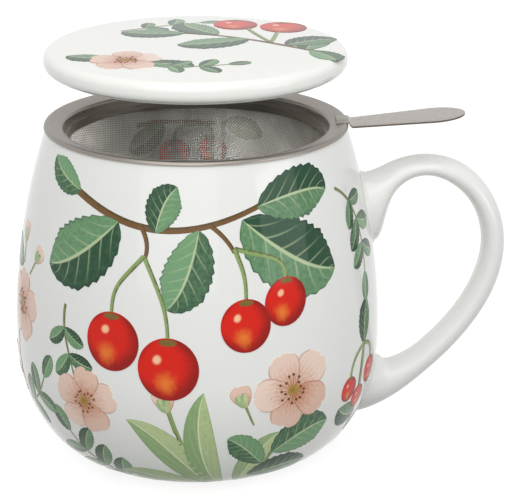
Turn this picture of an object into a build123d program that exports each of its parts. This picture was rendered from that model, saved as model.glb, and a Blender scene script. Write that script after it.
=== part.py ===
"""Lidded tea mug with a drop-in infuser.

A round-bellied porcelain mug with a luted-on ear handle, a steel infuser whose flange sits on
the rim, and a flat porcelain lid that is held open above it.

The origin is on the mug's axis, on the plane that its foot stands on. +Z is up and the handle
points along +X. All sizes are in millimetres.
"""

import os
from math import radians, sqrt, tan

from build123d import *

# Mug body
mug_height = 91.4  # table to the land on top of the rim
belly_radius = 49.3  # widest outside radius
belly_height = 34.0  # height of the widest place
rim_radius = 39.8  # outside radius at the rim
belly_wall = 4.0
rim_wall = 3.7
crown_radius = 1.6  # rounding of both edges of the rim
floor_thickness = 6.0
floor_flat_radius = 22.0  # flat middle of the floor inside
foot_radius = 28.0  # outside of the foot ring
foot_ring_width = 3.2
foot_height = 0.8  # the bowl's underside stands this far above the table
foot_recess = 2.2  # depth of the hollow inside the foot ring
foot_edge_radius = 0.5

# Mug handle. Its outer and inner lines are smooth curves, drawn by control points that are given as
# (distance out from the belly, height).
handle_outer_points = [
    (-0.9, 78.1), (30.5, 94.5), (36.2, 60.1), (52.0, 49.9), (10.7, 16.2), (0.5, 10.7)
]
handle_inner_points = [
    (0.8, 61.8), (5.4, 97.5), (39.0, 63.9), (41.7, 58.7), (10.2, 19.1), (0.5, 23.6)
]
# Each section runs between a place on the outer line and one on the inner line, both as the part
# of the line's length from the upper root. Then comes the section's width.
handle_stations = [
    (0.04, 0.093, 12.1),
    (0.11, 0.193, 10.7),
    (0.21, 0.291, 10.5),
    (0.33, 0.394, 10.5),
    (0.45, 0.499, 10.5),
    (0.57, 0.609, 10.5),
    (0.69, 0.733, 10.5),
    (0.8, 0.849, 10.6),
    (0.89, 0.925, 11.2),
    (0.955, 0.975, 12.2),
]
root_width = 15.0  # width of both flared roots at the body
upper_root_top = 77.1  # the upper root's reach up and down the body
upper_root_bottom = 58.9
lower_root_top = 24.6
lower_root_bottom = 8.6
root_stand_off = 1.2  # the roots keep their full size this far out from the body
root_sink = 2.2  # and this far into its wall, where the body trims them
root_blend = 1.5  # radius of the soft blend where the roots meet the body
slip_joint = 0.02  # the joint of fired slip between the roots and the body

# Infuser: a stamped steel rim, a mesh basket, the ring that clamps it and a strip handle
sheet = 0.5  # thickness of the rim and of the clamp ring
lip_drop = 1.0  # turned-down outer lip, measured from the flange's top
lip_gap = 0.05  # between the lip and the mug's side, before the rim is rounded
skirt_gap = 0.3  # between the skirt and the mug's mouth
skirt_depth = 5.6  # flange's top to the skirt's lower edge
bend_radius = 0.4  # inside radius of the rim's two bends
clamp_ring_drop = 3.4  # flange's top to the clamp ring's top
clamp_ring_height = 2.2
mesh_thickness = 0.4  # two crossing wires
mesh_tuck = 1.6  # how far the mesh reaches up between the skirt and the clamp ring
basket_depth = 57.0  # flange's top to the underside of the basket
basket_taper = 8.0  # lean of the basket's wall, in degrees
basket_bend_radius = 3.0  # where the wall starts to lean
basket_corner_radius = 7.0

strip_thickness = 0.7
strip_length = 31.2  # reach beyond the flange
strip_root_width = 9.4
strip_width = 13.8  # at its widest, where the rounded end starts
strip_end_length = 8.4  # the rounded end
strip_joggle = 0.65  # step down from the tongue to the blade
strip_rise = 4.8  # lean of the blade, in degrees
strip_bend_radius = 1.2
shoulder_length = 1.0  # widening from the tongue to the blade
tongue_width = 5.4
tongue_length = 2.9  # reach in under the flange
tongue_thickness = 0.5  # pressed thinner than the blade
channel_gap = 0.1  # between the tongue and the walls of its channel
channel_edge_radius = 0.3

# Lid
lid_radius = 40.1
lid_thickness = 5.4
lid_crown = 0.7  # rise of the top towards the middle
lid_edge_radius = 2.4
land_gap = 0.2  # between the lid's land and the channel that is pressed up beside it
land_clearance = 0.1  # the disc clears the channel's top by this much when the lid is on
locating_ring_gap = 3.0  # between the locating ring and the infuser's skirt
locating_ring_width = 2.8
locating_ring_depth = 1.2  # reach below the flange's top when the lid is on
locating_ring_radius = 0.5  # rounding of its lower edges
lid_lift = 13.9  # how far above its seat the lid is held

# Worked out from the sizes above
flange_top = mug_height + sheet
mouth_radius = rim_radius - rim_wall
skirt_outer_radius = mouth_radius - skirt_gap
skirt_inner_radius = skirt_outer_radius - sheet
clamp_outer_radius = skirt_inner_radius - mesh_thickness
clamp_inner_radius = clamp_outer_radius - sheet
foot_inner_radius = foot_radius - foot_ring_width
side_radius = ((mug_height - belly_height) ** 2 + (belly_radius - rim_radius) ** 2) / (
    2 * (belly_radius - rim_radius)
)


def body_radius(height):
    """Outside radius of the mug body at a height."""
    if height >= belly_height:
        return belly_radius - side_radius + sqrt(side_radius**2 - (height - belly_height) ** 2)
    drop = (belly_height - height) / (belly_height - foot_height)
    return foot_radius + (belly_radius - foot_radius) * sqrt(1 - drop**2)


def section_plane(outer, inner):
    """Plane of a handle section: its x runs from the inner to the outer point, about their middle."""
    across = Vector(outer[0] - inner[0], 0, outer[1] - inner[1])
    middle = ((outer[0] + inner[0]) / 2, 0, (outer[1] + inner[1]) / 2)
    return Plane(origin=middle, x_dir=across, z_dir=Vector(0, 1, 0).cross(across))


def handle_line(points):
    """Smooth line of the handle's outline, from its control points."""
    return Bezier(*[(belly_radius + reach, 0, height) for reach, height in points])


def root_section(outer_z, inner_z, stand_off):
    """A handle root's section, a distance out from the body's surface."""
    outer = (body_radius(outer_z) + stand_off, outer_z)
    inner = (body_radius(inner_z) + stand_off, inner_z)
    return outer, inner, root_width


def outer_form(grow):
    """The mug body's full outer form without its foot ring, larger all round by a margin."""
    with BuildPart() as form:
        with BuildSketch(Plane.YZ):
            with BuildLine():
                side = TangentArc(
                    (belly_radius + grow, belly_height),
                    (rim_radius + grow, mug_height),
                    tangent=(0, 1),
                )
                bowl = EllipticalCenterArc(
                    (foot_radius, belly_height),
                    belly_radius + grow - foot_radius,
                    belly_height + grow - foot_height,
                    start_angle=270,
                )
                Polyline(side @ 1, (0, mug_height), (0, foot_height - grow), bowl @ 0)
            make_face()
        revolve(axis=Axis.Z)
    return form.part


def wall_section(outer_points, outer_bends, inner_points, inner_bends):
    """Section of a thin wall between two bent skins, which run side by side."""
    with BuildSketch() as section:
        with BuildLine():
            outer_skin = FilletPolyline(*outer_points, radius=outer_bends)
            inner_skin = FilletPolyline(*inner_points, radius=inner_bends)
            Line(outer_skin @ 0, inner_skin @ 0)
            Line(outer_skin @ 1, inner_skin @ 1)
        make_face()
    return section.sketch


flange_radius = body_radius(flange_top - lip_drop) + lip_gap + sheet


# ---------------------------------------------------------------- mug body
with BuildPart() as mug_body:
    add(outer_form(0))
    with BuildSketch():
        Circle(foot_radius)
    extrude(amount=foot_height)
    with BuildSketch():
        Circle(foot_inner_radius)
    extrude(amount=foot_recess, mode=Mode.SUBTRACT)
    with BuildSketch(Plane.YZ):
        with BuildLine():
            inner_side = TangentArc(
                (belly_radius - belly_wall, belly_height),
                (mouth_radius, mug_height),
                tangent=(0, 1),
            )
            inner_bowl = EllipticalCenterArc(
                (floor_flat_radius, belly_height),
                belly_radius - belly_wall - floor_flat_radius,
                belly_height - floor_thickness,
                start_angle=270,
            )
            Polyline(inner_side @ 1, (0, mug_height), (0, floor_thickness), inner_bowl @ 0)
        make_face()
    revolve(axis=Axis.Z, mode=Mode.SUBTRACT)
    fillet(mug_body.edges().group_by(Axis.Z)[-1], crown_radius)
    fillet(mug_body.edges().group_by(Axis.Z)[0], foot_edge_radius)
mug_body.part.label = "mug_body"

# ---------------------------------------------------------------- mug handle
outer_line = handle_line(handle_outer_points)
inner_line = handle_line(handle_inner_points)
sections = [
    root_section(upper_root_top, upper_root_bottom, -root_sink),
    root_section(upper_root_top, upper_root_bottom, root_stand_off),
]
for along_outer, along_inner, width in handle_stations:
    outer = outer_line @ along_outer
    inner = inner_line @ along_inner
    sections.append(((outer.X, outer.Z), (inner.X, inner.Z), width))
sections.append(root_section(lower_root_bottom, lower_root_top, root_stand_off))
sections.append(root_section(lower_root_bottom, lower_root_top, -root_sink))

with BuildPart() as mug_handle:
    for outer, inner, width in sections:
        thickness = (Vector(*outer) - Vector(*inner)).length
        with BuildSketch(section_plane(outer, inner)):
            Ellipse(thickness / 2, width / 2)
    loft()
    add(outer_form(0))
    fillet(mug_handle.edges(Select.NEW), root_blend)
    add(outer_form(slip_joint), mode=Mode.SUBTRACT)
mug_handle.part.label = "mug_handle"

# ---------------------------------------------------------------- infuser rim
channel_width = tongue_width + 2 * channel_gap
channel_start = flange_radius - tongue_length
channel_top = flange_top + tongue_thickness

rim_section = wall_section(
    [
        (flange_radius, flange_top - lip_drop),
        (flange_radius, flange_top),
        (skirt_inner_radius, flange_top),
        (skirt_inner_radius, flange_top - skirt_depth),
    ],
    bend_radius + sheet,
    [
        (flange_radius - sheet, flange_top - lip_drop),
        (flange_radius - sheet, mug_height),
        (skirt_outer_radius, mug_height),
        (skirt_outer_radius, flange_top - skirt_depth),
    ],
    bend_radius,
)

with BuildPart() as infuser_rim:
    with BuildSketch(Plane.YZ):
        add(rim_section)
    revolve(axis=Axis.Z)
    # the channel that is pressed up over the strip handle's tongue
    with BuildSketch(Plane.XY.offset(mug_height)):
        with Locations((channel_start - sheet, 0)):
            Rectangle(
                tongue_length + sheet, channel_width + 2 * sheet, align=(Align.MIN, Align.CENTER)
            )
    extrude(amount=channel_top - mug_height)
    raised_edges = infuser_rim.faces().sort_by(Axis.Z)[-1].edges()
    fillet(raised_edges.sort_by(Axis.X)[:-1], channel_edge_radius)
    with BuildSketch(Plane.XY.offset(flange_top - lip_drop)):
        with Locations((channel_start, 0)):
            Rectangle(
                tongue_length + sheet, channel_width, align=(Align.MIN, Align.CENTER)
            )
    extrude(amount=lip_drop - sheet + tongue_thickness, mode=Mode.SUBTRACT)
infuser_rim.part.label = "infuser_rim"

# ---------------------------------------------------------------- clamp ring and mesh basket
clamp_top = flange_top - clamp_ring_drop
clamp_bottom = clamp_top - clamp_ring_height
mesh_top = clamp_bottom + mesh_tuck

with BuildPart() as infuser_clamp_ring:
    with BuildSketch(Plane.YZ):
        with BuildLine():
            Polyline(
                (clamp_inner_radius, clamp_bottom),
                (clamp_outer_radius, clamp_bottom),
                (clamp_outer_radius, mesh_top),
                (skirt_inner_radius, mesh_top),
                (skirt_inner_radius, clamp_top),
                (clamp_inner_radius, clamp_top),
                close=True,
            )
        make_face()
    revolve(axis=Axis.Z)
infuser_clamp_ring.part.label = "infuser_clamp_ring"

basket_bottom = flange_top - basket_depth
basket_shoulder = clamp_bottom - basket_bend_radius * tan(radians(basket_taper / 2))
basket_bottom_radius = skirt_inner_radius - (basket_shoulder - basket_bottom) * tan(
    radians(basket_taper)
)

basket_section = wall_section(
    [
        (skirt_inner_radius, mesh_top),
        (skirt_inner_radius, basket_shoulder),
        (basket_bottom_radius, basket_bottom),
        (0, basket_bottom),
    ],
    (basket_bend_radius, basket_corner_radius),
    [
        (clamp_outer_radius, mesh_top),
        (clamp_outer_radius, basket_shoulder),
        (basket_bottom_radius - mesh_thickness, basket_bottom + mesh_thickness),
        (0, basket_bottom + mesh_thickness),
    ],
    (basket_bend_radius, basket_corner_radius - mesh_thickness),
)

with BuildPart() as infuser_mesh:
    with BuildSketch(Plane.YZ):
        add(basket_section)
    revolve(axis=Axis.Z)
infuser_mesh.part.label = "infuser_mesh"

# ---------------------------------------------------------------- strip handle
blade_start = flange_radius + shoulder_length
blade_end = flange_radius + strip_length
blade_widest = blade_end - strip_end_length
tongue_top = mug_height + tongue_thickness
blade_top = tongue_top - strip_joggle
blade_rise = (blade_end - blade_start) * tan(radians(strip_rise))

strip_section = wall_section(
    [
        (channel_start, tongue_top),
        (flange_radius, tongue_top),
        (blade_start + shoulder_length, blade_top),
        (blade_end, blade_top + blade_rise),
    ],
    strip_bend_radius,
    [
        (channel_start, mug_height),
        (flange_radius, mug_height),
        (blade_start + shoulder_length, blade_top - strip_thickness),
        (blade_end, blade_top + blade_rise - strip_thickness),
    ],
    strip_bend_radius,
)

with BuildPart() as infuser_handle:
    with BuildSketch(Plane.XZ):
        add(strip_section)
    extrude(amount=strip_width, both=True)
    with BuildSketch(Plane.XY.offset(blade_top - strip_thickness)):
        with BuildLine():
            Polyline(
                (channel_start, 0),
                (channel_start, tongue_width / 2),
                (flange_radius, tongue_width / 2),
                (blade_start, strip_root_width / 2),
                (blade_widest, strip_width / 2),
            )
            EllipticalCenterArc((blade_widest, 0), strip_end_length, strip_width / 2)
            mirror(about=Plane.XZ)
        make_face()
    extrude(amount=strip_joggle + blade_rise + strip_thickness, mode=Mode.INTERSECT)
infuser_handle.part.label = "infuser_handle"

# ---------------------------------------------------------------- lid
# It is drawn where it is held, above its seat on the flange.
seat = flange_top + lid_lift
disc_bottom = seat + tongue_thickness + land_clearance
disc_top = disc_bottom + lid_thickness
locating_radius = skirt_inner_radius - locating_ring_gap
land_radius = channel_start - sheet - land_gap
ring_bottom = seat - locating_ring_depth

with BuildPart() as lid:
    with BuildSketch(Plane.YZ) as lid_section:
        with BuildLine():
            Polyline(
                (0, disc_top + lid_crown),
                (0, disc_bottom),
                (locating_radius - locating_ring_width, disc_bottom),
                (locating_radius - locating_ring_width, ring_bottom),
                (locating_radius, ring_bottom),
                (locating_radius, seat),
                (land_radius, seat),
                (land_radius, disc_bottom),
                (lid_radius, disc_bottom),
                (lid_radius, disc_top),
            )
            TangentArc((0, disc_top + lid_crown), (lid_radius, disc_top), tangent=(1, 0))
        make_face()
        fillet(lid_section.vertices().group_by(Axis.X)[-1], lid_edge_radius)
        fillet(lid_section.vertices().group_by(Axis.Y)[0], locating_ring_radius)
    revolve(axis=Axis.Z)
lid.part.label = "lid"

# ---------------------------------------------------------------- export
os.makedirs("parts", exist_ok=True)
export_step(mug_body.part, "parts/mug_body.step")
export_step(mug_handle.part, "parts/mug_handle.step")
export_step(infuser_rim.part, "parts/infuser_rim.step")
export_step(infuser_clamp_ring.part, "parts/infuser_clamp_ring.step")
export_step(infuser_mesh.part, "parts/infuser_mesh.step")
export_step(infuser_handle.part, "parts/infuser_handle.step")
export_step(lid.part, "parts/lid.step")
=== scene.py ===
"""Looks of a lidded porcelain tea mug with a steel infuser.

The frame's origin is on the mug's axis at table height, +Z up, with both handles along +X. The
classes hold their sizes in millimetres, and points are turned to metres where they are placed.
"""

import logging
import random
from bisect import bisect_right
from collections.abc import Callable, Iterable
from dataclasses import dataclass, field
from enum import Enum
from math import asin, atan2, ceil, cos, degrees, floor, hypot, pi, radians, sin, sqrt, tan, tau
from typing import Any

import bmesh
import bpy
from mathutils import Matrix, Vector


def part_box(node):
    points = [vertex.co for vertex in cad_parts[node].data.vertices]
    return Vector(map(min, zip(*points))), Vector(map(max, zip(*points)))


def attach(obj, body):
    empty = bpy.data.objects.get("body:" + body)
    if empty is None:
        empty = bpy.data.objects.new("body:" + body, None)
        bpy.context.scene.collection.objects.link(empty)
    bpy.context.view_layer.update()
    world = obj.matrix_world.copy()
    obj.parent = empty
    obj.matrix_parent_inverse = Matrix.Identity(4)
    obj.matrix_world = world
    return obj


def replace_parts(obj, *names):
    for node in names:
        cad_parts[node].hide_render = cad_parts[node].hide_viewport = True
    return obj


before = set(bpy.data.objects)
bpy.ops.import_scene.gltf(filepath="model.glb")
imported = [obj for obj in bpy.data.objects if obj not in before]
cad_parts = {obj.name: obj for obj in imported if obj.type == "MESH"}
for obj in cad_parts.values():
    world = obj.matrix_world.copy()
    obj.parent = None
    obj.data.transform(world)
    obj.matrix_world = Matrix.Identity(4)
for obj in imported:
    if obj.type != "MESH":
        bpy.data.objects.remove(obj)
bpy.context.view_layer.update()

logging.basicConfig(level=logging.INFO, format="%(name)s: %(message)s")
log = logging.getLogger("tea_mug")

MM = 0.001
SMOOTH_ANGLE = radians(38)  # edges that bend more are drawn sharp
SHARP_ANGLE = radians(60)  # edges that bend more are sheared corners
MERGE = 0.0005 * MM  # points closer than this are one point
NEAR = 0.002  # how close in mm an edge lies to the ring that is rounded
TINY = 0.001  # outlines have no stretches shorter than this many mm
LOOK = 0.01  # how far ahead and back a line's direction is measured, as a part of the line
SOFT = {"interpolation_type": "SMOOTHSTEP"}  # how a MapRange node fades

Point = tuple[float, float]
Place = tuple[float, float, float]
Cells = tuple[int, int]
FlatShape = Callable[[float, float], Point]  # turns 0 to 1 along and across into flat mm
Surface = Callable[[Point, float, float, float], Vector]  # places a printed point, as Wall does
BMesh = bmesh.types.BMesh
Material = bpy.types.Material
Mesh = bpy.types.Mesh
Object = bpy.types.Object
Socket = bpy.types.NodeSocket
Tree = bpy.types.NodeTree
Fade = tuple[float, ...]  # from which value to which a cover grows, and its least and most
Layers = list[tuple[Socket, str]]  # how much of what lies under it each hex colour covers
Looks = dict[str, Any]  # inputs of a material's shader


# ---------------------------------------------------------------- shader helpers
def linear(hex_colour: str) -> tuple[float, float, float, float]:
    """Turns an sRGB hex colour into a linear one.

    Args:
        hex_colour: A colour such as "#F4F5F2".

    Returns:
        Linear red, green and blue, with an alpha of 1.
    """
    channels = [int(hex_colour[i : i + 2], 16) / 255 for i in (1, 3, 5)]
    red, green, blue = (
        c / 12.92 if c <= 0.04045 else ((c + 0.055) / 1.055) ** 2.4 for c in channels
    )
    return red, green, blue, 1.0


def add_node(
    tree: Tree, kind: str, inputs: dict[str, Any] | tuple = (), **settings: Any
) -> bpy.types.NodeOutputs:
    """Adds a shader node with its settings and links.

    Args:
        tree: The node tree of a material or of the world.
        kind: The node's type without its ShaderNode prefix.
        inputs: Its inputs by name, or the first ones in order. An output socket is linked, a hex
            colour is turned linear, and anything else is a value.
        settings: Properties of the node.

    Returns:
        The new node's outputs.
    """
    node = tree.nodes.new(f"ShaderNode{kind}")
    for name, value in settings.items():
        setattr(node, name, value)
    for name, value in inputs.items() if isinstance(inputs, dict) else enumerate(inputs):
        if isinstance(value, Socket):
            tree.links.new(value, node.inputs[name])
        else:
            node.inputs[name].default_value = linear(value) if isinstance(value, str) else value
    return node.outputs


def new_material(name: str) -> Material:
    """Makes an empty node material.

    Args:
        name: Its name.

    Returns:
        The material.
    """
    material = bpy.data.materials.new(name)
    material.use_nodes = True
    material.node_tree.nodes.clear()
    return material


# ---------------------------------------------------------------- mesh helpers
def add_object(name: str, data: bpy.types.ID) -> Object:
    """Adds an object to the scene.

    Args:
        name: Its name.
        data: Its mesh, lamp or camera.

    Returns:
        The new object.
    """
    thing = bpy.data.objects.new(name, data)
    bpy.context.scene.collection.objects.link(thing)
    return thing


def smooth_mesh(name: str, bm: BMesh) -> Mesh:
    """Turns a bmesh into a smooth mesh with its real edges sharp, and frees the bmesh.

    Args:
        name: The mesh's name.
        bm: Its form, in metres.

    Returns:
        The mesh.
    """
    mesh = bpy.data.meshes.new(name)
    bm.to_mesh(mesh)
    bm.free()
    mesh.shade_smooth()
    mesh.set_sharp_from_angle(angle=SMOOTH_ANGLE)
    return mesh


def place_piece(mesh: Mesh, material: Material, body: str) -> Object:
    """Adds a mesh as a piece that rides on a body, and logs it.

    Args:
        mesh: The piece's mesh in metres, which also gives its name.
        material: What it is dressed in.
        body: The body that it moves with.

    Returns:
        The new object.
    """
    piece = add_object(mesh.name, mesh)
    mesh.materials.clear()
    mesh.materials.append(material)
    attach(piece, body)
    log.info("%s: %d faces on %s", mesh.name, len(mesh.polygons), body)
    return piece


def welded_copy(node: str) -> BMesh:
    """Copies a CAD node's mesh and merges its loose triangles.

    Args:
        node: The node's name.

    Returns:
        The copy, in metres.
    """
    bm = bmesh.new()
    bm.from_mesh(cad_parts[node].data)
    bmesh.ops.remove_doubles(bm, verts=bm.verts, dist=MERGE)
    return bm


def bevel(
    bm: BMesh, edges: list[bmesh.types.BMEdge], offset: float, segments: int, clamp: bool = False
) -> None:
    """Rounds edges off.

    Args:
        bm: The form, in metres.
        edges: Its edges that are rounded.
        offset: How far, in mm.
        segments: How many faces the rounding has.
        clamp: Whether it stops where two roundings would meet.
    """
    bmesh.ops.bevel(
        bm,
        geom=edges,
        offset=offset * MM,
        offset_type="OFFSET",
        affect="EDGES",
        segments=segments,
        profile=0.5,
        material=-1,
        clamp_overlap=clamp,
    )


def bezier(points: list[Point], t: float) -> Point:
    """Finds a point of a smooth line.

    Args:
        points: The line's control points.
        t: How far along it the point is, from 0 to 1.

    Returns:
        The point.
    """
    line = points
    while len(line) > 1:
        line = [
            (a[0] + (b[0] - a[0]) * t, a[1] + (b[1] - a[1]) * t) for a, b in zip(line, line[1:])
        ]
    return line[0]


def beside(points: list[Point], t: float, off: float) -> Point:
    """Finds a point beside a smooth line.

    Args:
        points: The line's control points.
        t: How far along it the point is, from 0 to 1.
        off: How far to the left of the line it is.

    Returns:
        The point.
    """
    x, y = bezier(points, t)
    x1, y1 = bezier(points, min(t + LOOK, 1.0))
    x0, y0 = bezier(points, max(t - LOOK, 0.0))
    share = off / hypot(x1 - x0, y1 - y0)
    return x - (y1 - y0) * share, y + (x1 - x0) * share


# ---------------------------------------------------------------- ceramic finishes
@dataclass(frozen=True)
class Finish:
    """A real material, and what its making gives the eye."""

    name: str

    def looks(self, tree: Tree) -> Looks:
        """Works out the looks."""
        raise NotImplementedError

    def material(self) -> Material:
        """Builds the material.

        Returns:
            The material.
        """
        material = new_material(self.name)
        tree = material.node_tree
        shader = add_node(tree, "BsdfPrincipled", self.looks(tree))["BSDF"]
        add_node(tree, "OutputMaterial", {"Surface": shader})
        return material


@dataclass(frozen=True)
class Glaze:
    """Clear feldspar glaze, fired to a hard gloss over whatever lies under it."""

    roughness: float = 0.07
    ior: float = 1.5
    specular: float = 0.5  # how strongly it mirrors, where 0.5 is plain glass
    wave_mm: float = 14.0  # the glaze pools in waves about this long
    wave_depth_mm: float = 0.012

    def over(self, tree: Tree, colour: Socket, roughness: Socket | None = None) -> Looks:
        """Works out the looks of a colour under the glaze.

        Args:
            tree: The material's node tree.
            colour: What lies under the glaze.
            roughness: A socket where the gloss varies, or nothing.

        Returns:
            The looks.
        """
        pools = {
            "Vector": add_node(tree, "TexCoord")["Object"],
            "Scale": 1 / (self.wave_mm * MM),
            "Detail": 1.5,
        }
        waves = add_node(tree, "TexNoise", pools)["Fac"]
        relief = {"Strength": 1.0, "Distance": self.wave_depth_mm * MM, "Height": waves}
        return {
            "Base Color": colour,
            "Roughness": self.roughness if roughness is None else roughness,
            "IOR": self.ior,
            "Specular IOR Level": self.specular,
            "Normal": add_node(tree, "Bump", relief)["Normal"],
        }


@dataclass(frozen=True)
class Porcelain(Finish):
    """Slip-cast hard-paste porcelain: a cool white body under clear glaze.

    The foot ring is wiped clean before firing, so that it stays matt and a little warmer.
    """

    name: str = "glazed_porcelain"
    body: str = "#EEEFEC"
    bare: str = "#E9E6DF"
    bare_below_mm: float = 0.35
    bare_roughness: float = 0.6
    glaze: Glaze = Glaze()

    def looks(self, tree: Tree) -> Looks:
        """Works out the looks, which change at the foot ring.

        Args:
            tree: The material's node tree.

        Returns:
            The looks.
        """
        height = add_node(tree, "SeparateXYZ", (add_node(tree, "TexCoord")["Object"],))["Z"]
        limits = (height, self.bare_below_mm * MM, 2 * self.bare_below_mm * MM)
        glazed = add_node(tree, "MapRange", limits, **SOFT)[0]
        gloss = {"Value": glazed, "To Min": self.bare_roughness, "To Max": self.glaze.roughness}
        tones = {"Factor": glazed, "A": self.bare, "B": self.body}
        colour = add_node(tree, "Mix", tones, data_type="RGBA")["Result"]
        return self.glaze.over(tree, colour, add_node(tree, "MapRange", gloss)[0])


@dataclass(frozen=True)
class PrintSpot:
    """What an ink works its colour out from, at one spot of a printed patch."""

    tree: Tree
    along: Socket  # from 0 to 1 along the motif
    across: Socket  # from 0 to 1 across it
    tint: Socket  # the patch's own number, from 0 to 1
    grain: Socket  # the stipple's mottling, about 0.5

    def away_from(self, along: float, across: float) -> Socket:
        """Measures how far the spot is from a place of the patch.

        Args:
            along: The place along the motif, from 0 to 1.
            across: The place across it.

        Returns:
            The distance.
        """
        squares: Socket | float = 0.0
        for here, there in ((self.along, along), (self.across, across)):
            off = add_node(self.tree, "Math", (here, there), operation="SUBTRACT")[0]
            squares = add_node(self.tree, "Math", (off, off, squares), operation="MULTIPLY_ADD")[0]
        return add_node(self.tree, "Math", (squares,), operation="SQRT")[0]

    def off_middle(self) -> Socket:
        """Gives how far the spot is from the motif's middle line, from 0 to 0.5."""
        off = add_node(self.tree, "Math", (self.across, 0.5), operation="SUBTRACT")[0]
        return add_node(self.tree, "Math", (off,), operation="ABSOLUTE")[0]

    def mottled(self, value: Socket, strength: float) -> Socket:
        """Mixes some of the grain into a value.

        Args:
            value: The value.
            strength: How much of the grain it gets.

        Returns:
            The mottled value.
        """
        share = (self.grain, strength, -strength / 2)
        grain = add_node(self.tree, "Math", share, operation="MULTIPLY_ADD")[0]
        return add_node(self.tree, "Math", (value, grain), operation="ADD")[0]


@dataclass(frozen=True)
class Ink(Finish):
    """Ceramic transfer print, fired into the glaze: glossy, but it mirrors less than the white.

    Each patch has its own UV: U along the motif and V across it.
    """

    ground: str = "#808080"  # the lowest colour
    glaze: Glaze = Glaze(specular=0.2)
    grain_mm: float = 1.1  # a print's dots of 0.2 mm are too fine to show, so these are coarser

    def layers(self, spot: PrintSpot) -> Layers:
        """Works out the colours over the ground, from the lowest up."""
        raise NotImplementedError

    def looks(self, tree: Tree) -> Looks:
        """Works out the looks, layer by layer.

        Args:
            tree: The material's node tree.

        Returns:
            The looks.
        """
        uv = add_node(tree, "SeparateXYZ", (add_node(tree, "UVMap", uv_map="UVMap")[0],))
        tint = add_node(tree, "Attribute", attribute_name="tint")["Fac"]
        stipple = {
            "Vector": add_node(tree, "TexCoord")["Object"],
            "Scale": 1 / (self.grain_mm * MM),
            "Detail": 3.0,
        }
        grain = add_node(tree, "TexNoise", stipple)["Fac"]
        colour: Socket | str = self.ground
        for cover, tone in self.layers(PrintSpot(tree, uv["X"], uv["Y"], tint, grain)):
            tones = {"Factor": cover, "A": colour, "B": tone}
            colour = add_node(tree, "Mix", tones, data_type="RGBA")["Result"]
        return self.glaze.over(tree, colour)


@dataclass(frozen=True)
class LeafInk(Ink):
    """Two greens with a pale midrib and side veins, one half of the leaf in shade."""

    ground: str = "#77A377"
    shaded: str = "#2C523A"
    deep: str = "#1D2E24"
    rib: str = "#B9CBA0"
    half: Fade = (0.46, 0.54, 0.0, 0.62)  # across the leaf, where its shaded half starts
    tint_share: float = 0.55  # how much of the shade comes from the tint
    mottling: float = 0.7
    shade: Fade = (0.0, 1.0)
    dusk: Fade = (0.85, 1.5)  # the deepest shade, which grows towards the tip
    veins: int = 7
    vein_slant: float = 0.22
    vein_strength: float = 0.45
    vein_crest: Fade = (0.8, 1.0)  # the part of a wave that is a vein
    vein_reach: Fade = (0.5, 0.1)  # from the edge to near the midrib
    midrib: Fade = (0.035, 0.015)
    edge: Fade = (0.455, 0.5, 0.0, 0.6)

    def layers(self, spot: PrintSpot) -> Layers:
        """Works out the shade, the dusk, the side veins, the midrib and the edge.

        Args:
            spot: Where on the leaf.

        Returns:
            The colours over the lit green.
        """
        tree, off_rib = spot.tree, spot.off_middle()
        half = add_node(tree, "MapRange", (spot.across, *self.half), **SOFT)[0]
        share = (spot.tint, self.tint_share, half)
        shade = add_node(tree, "Math", share, operation="MULTIPLY_ADD")[0]
        shade = spot.mottled(shade, self.mottling)
        dark = add_node(tree, "MapRange", (shade, *self.shade), **SOFT)[0]
        late = add_node(tree, "MapRange", (shade, *self.dusk), **SOFT)[0]
        dusk = add_node(tree, "Math", (late, spot.along), operation="MULTIPLY")[0]
        slant = (off_rib, -2 * self.vein_slant, spot.along)
        slanted = add_node(tree, "Math", slant, operation="MULTIPLY_ADD")[0]
        turns = add_node(tree, "Math", (slanted, self.veins * tau), operation="MULTIPLY")[0]
        waves = add_node(tree, "Math", (turns,), operation="SINE")[0]
        crest = (waves, *self.vein_crest, 0.0, self.vein_strength)
        lines = add_node(tree, "MapRange", crest, **SOFT)[0]
        inner = add_node(tree, "MapRange", (off_rib, *self.vein_reach), **SOFT)[0]
        vein = add_node(tree, "Math", (lines, inner), operation="MULTIPLY")[0]
        midrib = add_node(tree, "MapRange", (off_rib, *self.midrib), **SOFT)[0]
        edge = add_node(tree, "MapRange", (off_rib, *self.edge), **SOFT)[0]
        tones = (self.shaded, self.deep, self.rib, self.rib, self.deep)
        return list(zip((dark, dusk, vein, midrib, edge), tones))


@dataclass(frozen=True)
class StemInk(Ink):
    """A stalk or twig: green or brown by its tint, darker at one side."""

    ground: str = "#8FA868"
    brown: str = "#7A5A36"
    edge: str = "#4C4429"
    woody: Fade = (0.2, 0.8)  # the tints between green and brown
    side: Fade = (0.5, 1.0, 0.0, 0.8)  # across the stem, its dark side
    mottling: float = 0.9

    def layers(self, spot: PrintSpot) -> Layers:
        """Works out the brown and the dark side.

        Args:
            spot: Where on the stem.

        Returns:
            The colours over the green.
        """
        woody = add_node(spot.tree, "MapRange", (spot.tint, *self.woody), **SOFT)[0]
        side = (spot.mottled(spot.across, self.mottling), *self.side)
        shade = add_node(spot.tree, "MapRange", side, **SOFT)[0]
        return [(woody, self.brown), (shade, self.edge)]


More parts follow.
